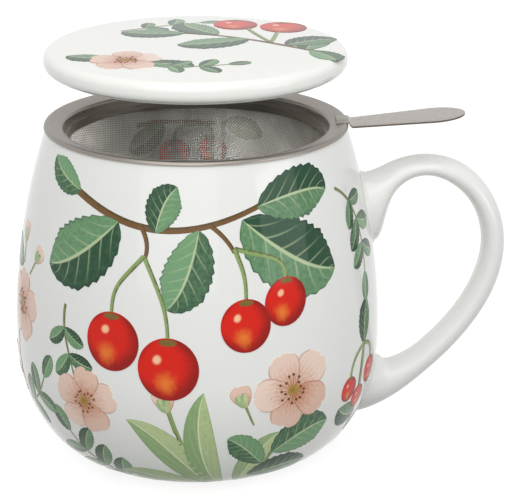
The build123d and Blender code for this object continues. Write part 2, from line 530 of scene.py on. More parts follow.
@dataclass(frozen=True)
class FruitInk(Ink):
    """A ripe round fruit: vermilion with an orange glow, a dark side and a small glint."""

    ground: str = "#E01C06"
    dark: str = "#8A0F06"
    glow: str = "#F28A34"
    glint: str = "#FFC9A0"
    dark_centre: Point = (0.4, 0.58)  # along and across the fruit, as the next two centres
    dark_side: Fade = (0.3, 0.62, 0.0, 0.85)  # away from its centre, as the next two fades
    glow_centre: Point = (0.42, 0.28)
    glow_spot: Fade = (0.26, 0.0, 0.0, 0.8)
    glint_centre: Point = (0.34, 0.68)
    glint_spot: Fade = (0.1, 0.04)
    mottling: float = 0.12

    def layers(self, spot: PrintSpot) -> Layers:
        """Works out the dark side, the glow and the glint.

        Args:
            spot: Where on the fruit.

        Returns:
            The colours over the red.
        """
        layers = []
        for tone, centre, mottling, fade in (
            (self.dark, self.dark_centre, self.mottling, self.dark_side),
            (self.glow, self.glow_centre, self.mottling, self.glow_spot),
            (self.glint, self.glint_centre, 0.0, self.glint_spot),
        ):
            away = spot.mottled(spot.away_from(*centre), mottling)
            layers.append((add_node(spot.tree, "MapRange", (away, *fade), **SOFT)[0], tone))
        return layers


@dataclass(frozen=True)
class PetalInk(Ink):
    """A blossom's petal: pale peach, rosy at its base, with fine streaks."""

    ground: str = "#F8E2D3"
    rosy: str = "#D48F6F"
    streak: str = "#A65A40"
    base: Fade = (0.75, 0.0, 0.0, 0.6)  # along the petal, its rosy part
    base_mottling: float = 0.5
    tint_share: float = 0.45
    fan: float = 46.0  # how close the streaks are
    fan_mottling: float = 0.3
    streak_crest: Fade = (0.3, 1.0, 0.0, 0.45)  # the part of a wave that is a streak
    streak_reach: Fade = (0.95, 0.1)  # along the petal
    rim: Fade = (0.44, 0.5, 0.0, 0.5)

    def layers(self, spot: PrintSpot) -> Layers:
        """Works out the blush, the streaks and the rim.

        Args:
            spot: Where on the petal.

        Returns:
            The colours over the pale peach.
        """
        tree = spot.tree
        base = (spot.mottled(spot.along, self.base_mottling), *self.base)
        share = (spot.tint, self.tint_share, add_node(tree, "MapRange", base, **SOFT)[0])
        blush = add_node(tree, "Math", share, operation="MULTIPLY_ADD")[0]
        spread = (spot.mottled(spot.across, self.fan_mottling), self.fan)
        turns = add_node(tree, "Math", spread, operation="MULTIPLY")[0]
        waves = add_node(tree, "Math", (turns,), operation="SINE")[0]
        lines = add_node(tree, "MapRange", (waves, *self.streak_crest), **SOFT)[0]
        inner = add_node(tree, "MapRange", (spot.along, *self.streak_reach), **SOFT)[0]
        fine = add_node(tree, "Math", (lines, inner), operation="MULTIPLY")[0]
        rim = add_node(tree, "MapRange", (spot.off_middle(), *self.rim), **SOFT)[0]
        return [(blush, self.rosy), (fine, self.streak), (rim, self.streak)]


@dataclass(frozen=True)
class DotInk(Ink):
    """Stamens and the fruits' dimples: from yellow-green to dark brown by the tint."""

    ground: str = "#C9A44A"
    dark: str = "#4A2E1B"
    mottling: float = 0.3

    def layers(self, spot: PrintSpot) -> Layers:
        """Works out the dark brown over the yellow-green."""
        return [(spot.mottled(spot.tint, self.mottling), self.dark)]


LEAF = LeafInk("leaf_print")
PALE_LEAF = LeafInk(
    "pale_leaf_print",
    ground="#C3D39D",
    shaded="#93B27B",
    deep="#6F9464",
    rib="#DCE6BC",
    veins=3,
    vein_slant=0.9,
    vein_strength=0.3,
)
STEM = StemInk("stem_print")
FRUIT = FruitInk("fruit_print")
PETAL = PetalInk("petal_print")
DOT = DotInk("stamen_print")
Inks = dict[Ink, Material]


# ---------------------------------------------------------------- steel finishes
class Brushing(Enum):
    """Which way the brush lines run."""

    AROUND = "round the axis"
    ALONG = "along X"


@dataclass(frozen=True)
class BrushedSteel(Finish):
    """Stainless sheet with a fine satin brushing: its gloss varies in thin lines, and painted
    shade darkens the deeper ones.

    A rim is brushed while it spins, so its lines run round the axis. A strip is drawn through the
    brush, so its lines run along it.
    """

    brushing: Brushing
    colour: str = "#B4ADA5"
    shadow: str = "#857D76"  # painted shade in the deeper brush lines, a warm dark tone
    deep: Fade = (0.8, 0.1)  # how much painted shade, from shallow lines to deep ones
    roughness: float = 0.24
    gloss: Fade = (0.3, 0.7)  # from smooth lines to rough ones
    gloss_range: Point = (0.75, 1.4)  # times the roughness
    line_mm: float = 0.16  # coarser than real brush lines of about 0.05 mm, so that they show
    line_depth_mm: float = 0.002
    turn_mm: float = 0.6  # round the axis, the noise counts a radian as this long
    draw_share: float = 0.02  # along X, the noise counts this share of the length
    shades_cut_edges: bool = False
    edge_shade: str = "#5F574F"  # painted shade on the punched edges, for the dark that they mirror
    upright: Fade = (0.7, 0.3)  # from level faces to cut edges, which get the painted shade

    def brush_lines(self, tree: Tree) -> Socket:
        """Makes noise that is drawn out along the brush lines.

        Args:
            tree: The material's node tree.

        Returns:
            The noise, about 0.5.
        """
        place = add_node(tree, "SeparateXYZ", (add_node(tree, "TexCoord")["Object"],))
        if self.brushing is Brushing.AROUND:
            flat = add_node(tree, "CombineXYZ", (place["X"], place["Y"]))[0]
            across = add_node(tree, "VectorMath", (flat,), operation="LENGTH")["Value"]
            angle = add_node(tree, "Math", (place["Y"], place["X"]), operation="ARCTAN2")[0]
            # both halves alike, so that no seam shows where the angle jumps
            turn = add_node(tree, "Math", (angle,), operation="ABSOLUTE")[0]
            along = add_node(tree, "Math", (turn, self.turn_mm * MM), operation="MULTIPLY")[0]
        else:
            across = place["Y"]
            along = add_node(tree, "Math", (place["X"], self.draw_share), operation="MULTIPLY")[0]
        drawn = add_node(tree, "CombineXYZ", (across, along, place["Z"]))[0]
        lines = {"Vector": drawn, "Scale": 1 / (self.line_mm * MM), "Detail": 2.0}
        return add_node(tree, "TexNoise", lines)["Fac"]

    def tone(self, tree: Tree, lines: Socket) -> Socket:
        """Works out the steel's colour, with painted shade in the deeper brush lines and on the
        cut edges.

        Args:
            tree: The material's node tree.
            lines: The noise of the brush lines.

        Returns:
            The colour.
        """
        # painted shade: the deeper brush lines are drawn in the shadow tone
        deep = add_node(tree, "MapRange", (lines, *self.deep), **SOFT)[0]
        tones = {"Factor": deep, "A": self.colour, "B": self.shadow}
        tone = add_node(tree, "Mix", tones, data_type="RGBA")["Result"]
        if not self.shades_cut_edges:
            return tone
        # painted shade on the upright cut edges, for the dark that they mirror
        normal = add_node(tree, "TexCoord")["Normal"]
        height = add_node(tree, "SeparateXYZ", (normal,))["Z"]
        level = add_node(tree, "Math", (height,), operation="ABSOLUTE")[0]
        cut = add_node(tree, "MapRange", (level, *self.upright), **SOFT)[0]
        tones = {"Factor": cut, "A": tone, "B": self.edge_shade}
        return add_node(tree, "Mix", tones, data_type="RGBA")["Result"]

    def looks(self, tree: Tree) -> Looks:
        """Works out the looks, with the brush lines in the gloss and the relief.

        Args:
            tree: The material's node tree.

        Returns:
            The looks.
        """
        lines = self.brush_lines(tree)
        gloss = (lines, *self.gloss, *(share * self.roughness for share in self.gloss_range))
        relief = {"Strength": 1.0, "Distance": self.line_depth_mm * MM, "Height": lines}
        return {
            "Base Color": self.tone(tree, lines),
            "Metallic": 1.0,
            "Roughness": add_node(tree, "MapRange", gloss)[0],
            "Normal": add_node(tree, "Bump", relief)["Normal"],
        }


@dataclass(frozen=True)
class DrawnWire(Finish):
    """Bright annealed wire, drawn through a die: satin, a little duller in patches."""

    name: str = "drawn_wire"
    bright: str = "#C0BCB6"
    dull: str = "#AAA59D"
    patch_mm: float = 5.0  # annealing leaves blotches about this long
    patches: Fade = (0.35, 0.65)  # from bright wire to dull
    roughness: float = 0.38

    def looks(self, tree: Tree) -> Looks:
        """Works out the looks.

        Args:
            tree: The material's node tree.

        Returns:
            The looks.
        """
        blotches = {
            "Vector": add_node(tree, "TexCoord")["Object"],
            "Scale": 1 / (self.patch_mm * MM),
            "Detail": 3.0,
        }
        noise = add_node(tree, "TexNoise", blotches)["Fac"]
        dull = add_node(tree, "MapRange", (noise, *self.patches), **SOFT)[0]
        tones = {"Factor": dull, "A": self.bright, "B": self.dull}
        return {
            "Base Color": add_node(tree, "Mix", tones, data_type="RGBA")["Result"],
            "Metallic": 1.0,
            "Roughness": self.roughness,
        }


# ---------------------------------------------------------------- round forms
class Outline:
    """A line of (radius, height) points that is spun into a round form."""

    def __init__(self, start: Point) -> None:
        """Starts the line at a point."""
        self.points = [start]

    def line(self, *points: Point) -> "Outline":
        """Goes on straight to each point."""
        self.points.extend(points)
        return self

    def arc(self, centre: Point, size: Point, start: float, end: float, step: float) -> "Outline":
        """Goes on along an elliptical arc.

        Args:
            centre: The arc's centre.
            size: Its two half axes.
            start: Angle in degrees where it starts.
            end: Angle in degrees where it ends.
            step: Longest stretch between two points.

        Returns:
            The outline itself.
        """
        turn = radians(end - start)
        count = max(2, ceil(abs(turn) * max(size) / step))
        for i in range(count + 1):
            angle = radians(start) + turn * i / count
            point = (centre[0] + size[0] * cos(angle), centre[1] + size[1] * sin(angle))
            last = self.points[-1]
            if hypot(point[0] - last[0], point[1] - last[1]) > TINY:
                self.points.append(point)
        return self

    def spin(self, steps: int, closed: bool = False) -> BMesh:
        """Spins the line about the axis.

        Args:
            steps: How many steps the full turn has.
            closed: Whether the line's end joins its start, as in a ring.

        Returns:
            The form, in metres, with its faces outwards.
        """
        bm = bmesh.new()
        verts = [bm.verts.new((r * MM, 0, z * MM)) for r, z in self.points]
        pairs = list(zip(verts, verts[1:])) + ([(verts[-1], verts[0])] if closed else [])
        edges = [bm.edges.new(pair) for pair in pairs]
        bmesh.ops.spin(
            bm,
            geom=verts + edges,
            axis=(0, 0, 1),
            cent=(0, 0, 0),
            angle=tau,
            steps=steps,
            use_merge=True,
            use_duplicate=False,
        )
        bmesh.ops.remove_doubles(bm, verts=bm.verts, dist=MERGE)
        bmesh.ops.recalc_face_normals(bm, faces=bm.faces)
        return bm


def round_off(bm: BMesh, radius: float, height: float, offset: float) -> None:
    """Rounds off one ring of edges of a spun form.

    Args:
        bm: The form, in metres.
        radius: The ring's radius in mm.
        height: Its height.
        offset: How far it is rounded.
    """
    ring = [
        edge
        for edge in bm.edges
        if all(
            abs(vert.co.z / MM - height) < NEAR
            and abs(hypot(vert.co.x, vert.co.y) / MM - radius) < NEAR
            for vert in edge.verts
        )
    ]
    bevel(bm, ring, offset, segments=6)


# ---------------------------------------------------------------- printed faces
class Side(Enum):
    """Which face of a wall is printed, as the sign of its outward direction."""

    OUTSIDE = 1
    INSIDE = -1


class Wall:
    """A printed face of a round wall, which follows its outline from the bottom up."""

    def __init__(self, points: list[Point], side: Side) -> None:
        """Keeps the outline and how far along it each point is.

        Args:
            points: Points of (radius, height), close together.
            side: The face that is printed.
        """
        self.points = points
        self.side = side.value
        self.along = [0.0]
        for (r0, z0), (r1, z1) in zip(points, points[1:]):
            self.along.append(self.along[-1] + hypot(r1 - r0, z1 - z0))

    def __call__(self, anchor: Point, x: float, y: float, lift: float) -> Vector:
        """Finds the place of a printed point.

        Args:
            anchor: The motif's angle in degrees and its way up along the wall.
            x: How far right of the anchor the point is, seen from the printed side.
            y: How far above it, along the wall.
            lift: How far off the wall.

        Returns:
            The place in metres.
        """
        along = min(max(anchor[1] + y, 0.0), self.along[-1])
        i = min(bisect_right(self.along, along) - 1, len(self.points) - 2)
        part = (along - self.along[i]) / (self.along[i + 1] - self.along[i])
        (r0, z0), (r1, z1) = self.points[i], self.points[i + 1]
        slope = atan2(z1 - z0, r1 - r0)
        radius = r0 + part * (r1 - r0)
        angle = radians(anchor[0]) + self.side * x / radius
        radius += self.side * lift * sin(slope)
        height = z0 + part * (z1 - z0) - self.side * lift * cos(slope)
        return Vector((radius * cos(angle), radius * sin(angle), height)) * MM


@dataclass(frozen=True)
class Dome:
    """A printed round top, slightly domed."""

    radius: float
    crown: float
    edge_height: float

    def __call__(self, anchor: Point, x: float, y: float, lift: float) -> Vector:
        """Finds the place of a printed point.

        Args:
            anchor: The motif's X and Y.
            x: How far right of the anchor the point is.
            y: How far behind it.
            lift: How far off the top.

        Returns:
            The place in metres.
        """
        px, py = anchor[0] + x, anchor[1] + y
        sphere = (self.radius**2 + self.crown**2) / (2 * self.crown)
        rise = sqrt(sphere**2 - px**2 - py**2) - sphere + self.crown
        return Vector((px, py, self.edge_height + rise + lift)) * MM


class Canvas:
    """One printed face. It gathers the thin patches of each ink into one piece."""

    FIRST_LIFT = 0.04  # how far the lowest layer of print stands off the glaze
    LAYER = 0.018
    SINK = 0.03  # how far each patch reaches down into the porcelain

    def __init__(self, name: str, body: str, surface: Surface) -> None:
        """Starts an empty canvas.

        Args:
            name: First part of its pieces' names.
            body: The body that carries them.
            surface: Finds the place of a printed point.
        """
        self.name = name
        self.body = body
        self.surface = surface
        self.sheets: dict[Ink, BMesh] = {}

    def patch(
        self, ink: Ink, anchor: Point, shape: FlatShape, cells: Cells, layer: int, tint: float
    ) -> None:
        """Prints one thin patch.

        Args:
            ink: What it is printed in.
            anchor: The spray's place on the surface.
            shape: Turns 0 to 1 along and across into flat mm about the anchor.
            cells: How many faces it has along and across.
            layer: How many patches lie under it.
            tint: The patch's number for its ink.
        """
        if ink not in self.sheets:
            self.sheets[ink] = bmesh.new()
            self.sheets[ink].loops.layers.uv.new("UVMap")
            self.sheets[ink].verts.layers.float.new("tint")
        bm = self.sheets[ink]
        tints = bm.verts.layers.float["tint"]
        grid = bmesh.ops.create_grid(
            bm, x_segments=cells[0], y_segments=cells[1], size=0.5, calc_uvs=True
        )["verts"]
        faces = {face for vert in grid for face in vert.link_faces}
        raised = bmesh.ops.extrude_face_region(bm, geom=list(faces))["geom"]
        top = {part for part in raised if isinstance(part, bmesh.types.BMVert)}
        lift = self.FIRST_LIFT + self.LAYER * layer
        for vert in [*grid, *top]:
            x, y = shape(vert.co.x + 0.5, vert.co.y + 0.5)
            vert.co = self.surface(anchor, x, y, lift if vert in top else -self.SINK)
            vert[tints] = tint

    def finish(self, inks: Inks) -> None:
        """Turns the patches of each ink into a piece.

        Args:
            inks: The material of each ink.
        """
        for ink, bm in self.sheets.items():
            bmesh.ops.recalc_face_normals(bm, faces=bm.faces)
            mesh = smooth_mesh(f"{self.name}_{ink.name}", bm)
            place_piece(mesh, inks[ink], self.body)


class Spray:
    """Draws one plant on a canvas, in flat mm about its anchor: x to the right and y up.

    Its motifs' proportions are parts of their own length, width or radius.
    """

    LEAF_LEAST = 0.03  # how wide a leaf is at its ends
    LEAF_FULL = 0.85  # below 1, a leaf is widest nearer its base
    TOOTH = 0.14  # how far a tooth stands out, of half the leaf's width
    TOOTH_ROOT = 0.3  # how much of a tooth lies inside the smooth edge
    PETAL_HALF = 0.44  # half a petal's width
    PETAL_BASE = 0.12  # how wide it starts
    PETAL_FLARE = 0.62  # how fast it reaches its full width
    PETAL_FULL = 0.8  # below 1, it is fuller near its base
    PETAL_ROUND = (0.72, 0.45)  # where its end starts to round, and over what length
    PETAL_BACK = 0.1  # how far its corners lie back
    PETAL_WAVE = (0.03, 3.0)  # how deep its end waves, and the radians over half its width
    NOTCH = (0.07, 0.25)  # depth of the notch in its end, and half the notch's width
    PETALS = 5
    PETAL_SWAY = 5  # degrees that a petal is off at most
    PETAL_SIZES = (0.92, 1.05)
    HEART = 0.13  # radius of the disc in a blossom's middle
    STAMENS = 16
    STAMEN_SWAY = 6
    STAMEN_REACH = (0.2, 0.38)
    STAMEN_WIDTHS = (0.16, 0.12)  # mm at both ends, as the other widths
    ANTHER = 0.035  # radius of a stamen's head
    BUD_STALK = 0.9
    BUD_STALK_WIDTHS = (0.5, 0.7)
    CUP = (0.66, 0.3)  # length and width of a bud's green cups
    CUP_LEAN = 14  # degrees that each of them leans
    TWIG_WIDTHS = (0.9, 0.4)
    TWIG_LEAVES = (0.28, 0.69)  # where a twig's leaves start, and over how much of it they grow
    TWIG_LOOK = 0.04  # how far back its direction is measured
    TWIG_TAPER = 0.28  # how much smaller its leaves are away from its middle
    TWIG_SIZES = (0.85, 1.05)
    TWIG_SPREAD = 58  # degrees between a twig and its side leaves
    TWIG_LEAF_WIDTH = 0.5
    TWIG_BEND = 600  # degrees of spread at which a leaf would bend by its whole length
    STALK_WIDTHS = (1.2, 0.9)
    STALK_OVER = 0.75  # how far over a fruit's stalk is at its middle
    STALK_RISE = 4  # mm that its middle stands up
    STALK_END = 0.86  # where it meets the fruit
    FRUIT_HEIGHT = 1.06
    FRUIT_LEAN = 12  # degrees that a fruit leans at most
    DIMPLE = (0.3, 0.12)
    DIMPLE_AT = 0.9

    def __init__(self, canvas: Canvas, anchor: Point, seed: int, mirrored: bool = False) -> None:
        """Takes the place.

        Args:
            canvas: Where it is drawn.
            anchor: Its place on the canvas's surface.
            seed: Start of its random variation.
            mirrored: Whether left and right are swapped.
        """
        self.canvas = canvas
        self.anchor = anchor
        self.chance = random.Random(seed)
        self.mirrored = mirrored

    def sway(self, most: float) -> float:
        """Draws a random angle of up to so many degrees either way."""
        return self.chance.uniform(-most, most)

    def stamp(self, ink: Ink, shape: FlatShape, cells: Cells, layer: int, tint: float) -> None:
        """Prints a patch, mirrored where the spray is.

        Args:
            ink: What it is printed in.
            shape: Its flat shape.
            cells: How many faces it has along and across.
            layer: How many patches lie under it.
            tint: The patch's number for its ink.
        """

        def mirror(u: float, v: float) -> Point:
            """Gives the mirrored point."""
            x, y = shape(u, 1 - v)
            return -x, y

        drawn = mirror if self.mirrored else shape
        self.canvas.patch(ink, self.anchor, drawn, cells, layer, tint)

    def ribbon(
        self, ink: Ink, line: list[Point], widths: Point, layer: int, tint: float, cells: int = 16
    ) -> None:
        """Draws a stalk or twig.

        Args:
            ink: Its ink.
            line: Control points of its middle line.
            widths: Its width at both ends.
            layer: Its layer.
            tint: Its tint.
            cells: Faces along it.
        """

        def shape(u: float, v: float) -> Point:
            """Gives the ribbon's point at u along and v across."""
            return beside(line, u, (v - 0.5) * (widths[0] + (widths[1] - widths[0]) * u))

        self.stamp(ink, shape, (cells, 2), layer, tint)

    def leaf(
        self,
        base: Point,
        angle: float,
        length: float,
        width: float,
        layer: int,
        bend: float = 0.12,
        teeth: int = 11,
        ink: Ink = LEAF,
        point: float = 0.75,
    ) -> None:
        """Draws a leaf.

        Args:
            base: Where its stalk ends.
            angle: Its direction in degrees, from the right.
            length: From base to tip.
            width: At its widest.
            layer: Its layer.
            bend: How far it bends to its left, as a part of its length.
            teeth: Teeth on each side, or 0 for a smooth edge.
            ink: Its ink.
            point: How slowly it widens: lower is fuller, higher is more pointed.
        """
        dx, dy = length * cos(radians(angle)), length * sin(radians(angle))
        line = [
            (base[0] + dx * part - dy * swing, base[1] + dy * part + dx * swing)
            for part, swing in ((0, 0), (0.45, bend), (0.8, bend), (1, 0))
        ]

        def shape(u: float, v: float) -> Point:
            """Finds a point of the toothed leaf.

            Args:
                u: From 0 to 1 along it.
                v: From 0 to 1 across it.

            Returns:
                The flat point.
            """
            full = (4 * u**self.LEAF_FULL * (1 - u)) ** point
            half = 0.5 * width * max(self.LEAF_LEAST, full)
            if teeth and (v < 0.01 or v > 0.99):  # only the outermost row of points
                half *= 1 + self.TOOTH * (u * teeth % 1.0 - self.TOOTH_ROOT)
            return beside(line, u, (2 * v - 1) * half)

        self.stamp(ink, shape, (3 * teeth or 16, 6), layer, self.chance.random())

    def disc(
        self,
        ink: Ink,
        centre: Point,
        size: Point,
        cells: int,
        layer: int,
        tint: float,
        angle: float = 0.0,
    ) -> None:
        """Draws a filled ellipse.

        Args:
            ink: Its ink.
            centre: Its middle.
            size: Its two half axes.
            cells: Faces along each side of its grid.
            layer: Its layer.
            tint: Its tint.
            angle: How far it is turned, in degrees.
        """
        c, s = cos(radians(angle)), sin(radians(angle))

        def shape(u: float, v: float) -> Point:
            """Finds a point of the ellipse, onto which it maps a square.

            Args:
                u: From 0 to 1 along it.
                v: From 0 to 1 across it.

            Returns:
                The flat point.
            """
            a, b = 2 * u - 1, 2 * v - 1
            x, y = size[0] * a * sqrt(1 - b * b / 2), size[1] * b * sqrt(1 - a * a / 2)
            return centre[0] + x * c - y * s, centre[1] + x * s + y * c

        self.stamp(ink, shape, (cells, cells), layer, tint)

    def petal(self, base: Point, angle: float, length: float, layer: int) -> None:
        """Draws a petal: narrow at its base, broad and notched at its end.

        Args:
            base: Where it starts.
            angle: Its direction in degrees.
            length: How long it is.
            layer: Its layer.
        """
        c, s = cos(radians(angle)), sin(radians(angle))
        wave = self.chance.uniform(0.0, tau)
        round_start, round_length = self.PETAL_ROUND
        (depth, waves), (notch, notch_half) = self.PETAL_WAVE, self.NOTCH

        def shape(u: float, v: float) -> Point:
            """Finds a point of the notched petal.

            Args:
                u: From 0 to 1 along it.
                v: From 0 to 1 across it.

            Returns:
                The flat point.
            """
            side = 2 * v - 1
            flare = sin(pi * min(0.5, self.PETAL_FLARE * u)) ** self.PETAL_FULL
            half = self.PETAL_HALF * length * (self.PETAL_BASE + (1 - self.PETAL_BASE) * flare)
            half *= sqrt(1 - max(0.0, (u - round_start) / round_length) ** 2)
            ripple = depth * sin(waves * side + wave)
            reach = length * u * (1 - self.PETAL_BACK * side * side + ripple)
            reach -= notch * length * u**4 * max(0.0, 1 - abs(side) / notch_half)
            return base[0] + reach * c - side * half * s, base[1] + reach * s + side * half * c

        self.stamp(PETAL, shape, (8, 10), layer, self.chance.random())

    def blossom(self, centre: Point, size: float, turn: float, layer: int) -> None:
        """Draws an open blossom of five petals with its stamens.

        Args:
            centre: Its middle.
            size: From the middle to a petal's tip.
            turn: Direction of the first petal, in degrees.
            layer: Its lowest layer.
        """
        for i in range(self.PETALS):
            angle = turn + 360 / self.PETALS * i + self.sway(self.PETAL_SWAY)
            length = size * self.chance.uniform(*self.PETAL_SIZES)
            self.petal(centre, angle, length, layer + i % 3)
        heart, anther = (self.HEART * size,) * 2, (self.ANTHER * size,) * 2
        self.disc(DOT, centre, heart, cells=4, layer=layer + 3, tint=0.15)
        for i in range(self.STAMENS):
            angle = radians(turn + 360 / self.STAMENS * i + self.sway(self.STAMEN_SWAY))
            reach = size * self.chance.uniform(*self.STAMEN_REACH)
            tip = (centre[0] + reach * cos(angle), centre[1] + reach * sin(angle))
            self.ribbon(DOT, [centre, tip], self.STAMEN_WIDTHS, layer + 4, tint=0.5, cells=2)
            self.disc(DOT, tip, anther, cells=2, layer=layer + 5, tint=0.85)

    def bud(self, base: Point, angle: float, length: float, layer: int) -> None:
        """Draws a closed bud in its two green cups, on a short stalk.

        Args:
            base: Where the stalk ends.
            angle: The bud's direction in degrees.
            length: How long it is.
            layer: Its lowest layer.
        """
        dx, dy = length * cos(radians(angle)), length * sin(radians(angle))
        foot = (base[0] - self.BUD_STALK * dx, base[1] - self.BUD_STALK * dy)
        self.ribbon(STEM, [foot, base], self.BUD_STALK_WIDTHS, layer, tint=0.3, cells=4)
        self.petal(base, angle, length, layer)
        cup_length, cup_width = (share * length for share in self.CUP)
        for lean in (-self.CUP_LEAN, self.CUP_LEAN):
            cup = (base, angle + lean, cup_length, cup_width, layer + 1)
            self.leaf(*cup, teeth=0, ink=PALE_LEAF)

    def leafy_twig(self, line: list[Point], pairs: int, size: float, layer: int) -> None:
        """Draws a thin stalk with pairs of small leaves and one at its tip.

        Args:
            line: Control points of the stalk, from its foot.
            pairs: How many pairs of leaves it has.
            size: Length of the largest leaf.
            layer: Its lowest layer.
        """
        self.ribbon(STEM, line, self.TWIG_WIDTHS, layer, tint=0.45)
        start, stretch = self.TWIG_LEAVES
        for i in range(pairs + 1):
            part = start + stretch * i / pairs
            (x0, y0), (x1, y1) = bezier(line, part - self.TWIG_LOOK), bezier(line, part)
            heading = degrees(atan2(y1 - y0, x1 - x0))
            length = size * (1 - self.TWIG_TAPER * abs(part - 0.5))
            length *= self.chance.uniform(*self.TWIG_SIZES)
            width = self.TWIG_LEAF_WIDTH * length
            for side in (-self.TWIG_SPREAD, self.TWIG_SPREAD) if i < pairs else (0,):
                bend = -side / self.TWIG_BEND
                self.leaf((x1, y1), heading + side, length, width, layer + 1, bend, teeth=8)

    def fruits(self, node: Point, fruits: Iterable[Place], layer: int) -> None:
        """Draws fruits on long stalks that hang from one node.

        Args:
            node: Where the stalks meet.
            fruits: For each fruit its middle and its radius.
            layer: The lowest layer.
        """
        for i, (x, y, radius) in enumerate(fruits):
            over = (1 - self.STALK_OVER) * node[0] + self.STALK_OVER * x
            middle = (over, (node[1] + y) / 2 + self.STALK_RISE)
            stalk = [node, middle, (x, y + 2 * radius), (x, y + self.STALK_END * radius)]
            self.ribbon(STEM, stalk, self.STALK_WIDTHS, layer, tint=0.1)
            size, lean = (radius, self.FRUIT_HEIGHT * radius), self.sway(self.FRUIT_LEAN)
            self.disc(FRUIT, (x, y), size, cells=12, layer=layer + 1 + i, tint=0.5, angle=lean)
            dimple = (self.DIMPLE[0] * radius, self.DIMPLE[1] * radius)
            above = (x, y + self.DIMPLE_AT * radius)
            self.disc(DOT, above, dimple, cells=4, layer=layer + 3, tint=0.7)


def draw_bough(spray: Spray) -> None:
    """Draws the large spray: fruits that hang from a bough, over long leaves and blossoms.

    Args:
        spray: Where it is drawn.
    """
    bough = [(-43, 96), (-26, 91), (-14, 79), (4, 84), (24, 93)]
    spray.ribbon(STEM, bough, (2.3, 1.3), 0, 0.95, 30)
    spray.ribbon(STEM, [(-13, 86), (-10, 81), (-12, 77)], (1.3, 1.0), 1, 0.8, 8)
    spray.ribbon(STEM, [(5, 86), (9, 83), (11, 79)], (1.2, 1.0), 1, 0.8, 8)
    spray.fruits((-12, 78), [(-21, 55, 7.4), (-6, 49, 7.9)], 3)
    spray.fruits((11, 80), [(14, 60, 6.6), (25, 65, 6.0)], 3)
    spray.leaf((-19, 86), 212, 28, 15, 2, 0.1)
    spray.leaf((-9, 84), 64, 13, 8, 2)
    spray.leaf((13, 87), -30, 33, 17, 1, -0.1)
    spray.leaf((17, 90), 2, 22, 12, 2, 0.1)
    spray.leaf((2, 85), -112, 22, 11.5, 1, 0.1)
    spray.leaf((-31, 92), 150, 13, 7.5, 1)
    spray.ribbon(STEM, [(8, 1), (2, 14), (-3, 26), (-6, 38)], (1.8, 0.9), 0, 0.05, 24)
    spray.ribbon(STEM, [(9, 1), (14, 12), (22, 22), (27, 34)], (1.6, 0.8), 0, 0.05, 24)
    spray.bud((-6.2, 37), 105, 7, 2)
    for base, angle, length, width, layer, bend in (
        ((6, 4), 128, 38, 8, 1, -0.12),
        ((7, 5), 96, 38, 7.5, 2, 0.1),
        ((11, 6), 62, 26, 6.5, 1, 0.14),
        ((5, 3), 158, 27, 7, 3, -0.16),
    ):
        spray.leaf(base, angle, length, width, layer, bend, 0, PALE_LEAF, 0.9)
    spray.leaf((14, 12), 8, 18, 9.5, 2, 0.1)
    spray.leaf((18, 18), 130, 14, 7.5, 2, -0.1)
    spray.leaf((21, 22), 20, 19, 10.5, 3, 0.12)
    spray.blossom((27, 41), 11.5, 40, 4)
    spray.blossom((-30, 37), 9.5, 15, 4)
    spray.bud((14, 38), 110, 6.5, 2)
    spray.leafy_twig([(-9, 6), (-20, 9), (-30, 16), (-37, 26)], 3, 11.5, 1)
    spray.leafy_twig([(-36, 62), (-38, 54), (-34, 48), (-33, 42)], 2, 9.5, 1)


def draw_blossom_twig(spray: Spray) -> None:
    """Draws a twig with open blossoms, buds and small leaves.

    Args:
        spray: Where it is drawn.
    """
    spray.ribbon(STEM, [(-4, -28), (3, -16), (-5, 2), (2, 22)], (1.5, 0.8), 0, 0.6, 24)
    spray.blossom((3, 14), 10, 10, 4)
    spray.blossom((-7, -8), 7.5, 50, 4)
    spray.bud((1, 30), 100, 6, 2)
    spray.bud((10, 27), 55, 5.5, 2)
    spray.leafy_twig([(-1, -14), (6, -14), (13, -10), (17, -2)], 2, 9.5, 1)
    spray.leafy_twig([(-3, -22), (-10, -24), (-15, -20), (-19, -12)], 2, 8.5, 1)
    spray.leaf((1, 24), 150, 12, 6, 2)


def draw_side_sprig(spray: Spray) -> None:
    """Draws a low sprig with small fruits, and a leafy twig above it.

    Args:
        spray: Where it is drawn.
    """
    spray.ribbon(STEM, [(0, 2), (4, 14), (-5, 26), (0, 38)], (1.3, 0.7), 0, 0.7, 20)
    spray.fruits((0, 38), [(-7, 27, 3.4), (5, 29, 3.7), (-1, 23, 3.2)], 2)
    spray.leaf((2, 10), 20, 12, 6.5, 1)
    spray.leaf((1, 17), 155, 12, 6.5, 1)
    spray.leaf((0, 38), 75, 12, 6.2, 1)
    spray.leafy_twig([(-6, 82), (2, 78), (5, 68), (3, 56)], 3, 9.5, 1)


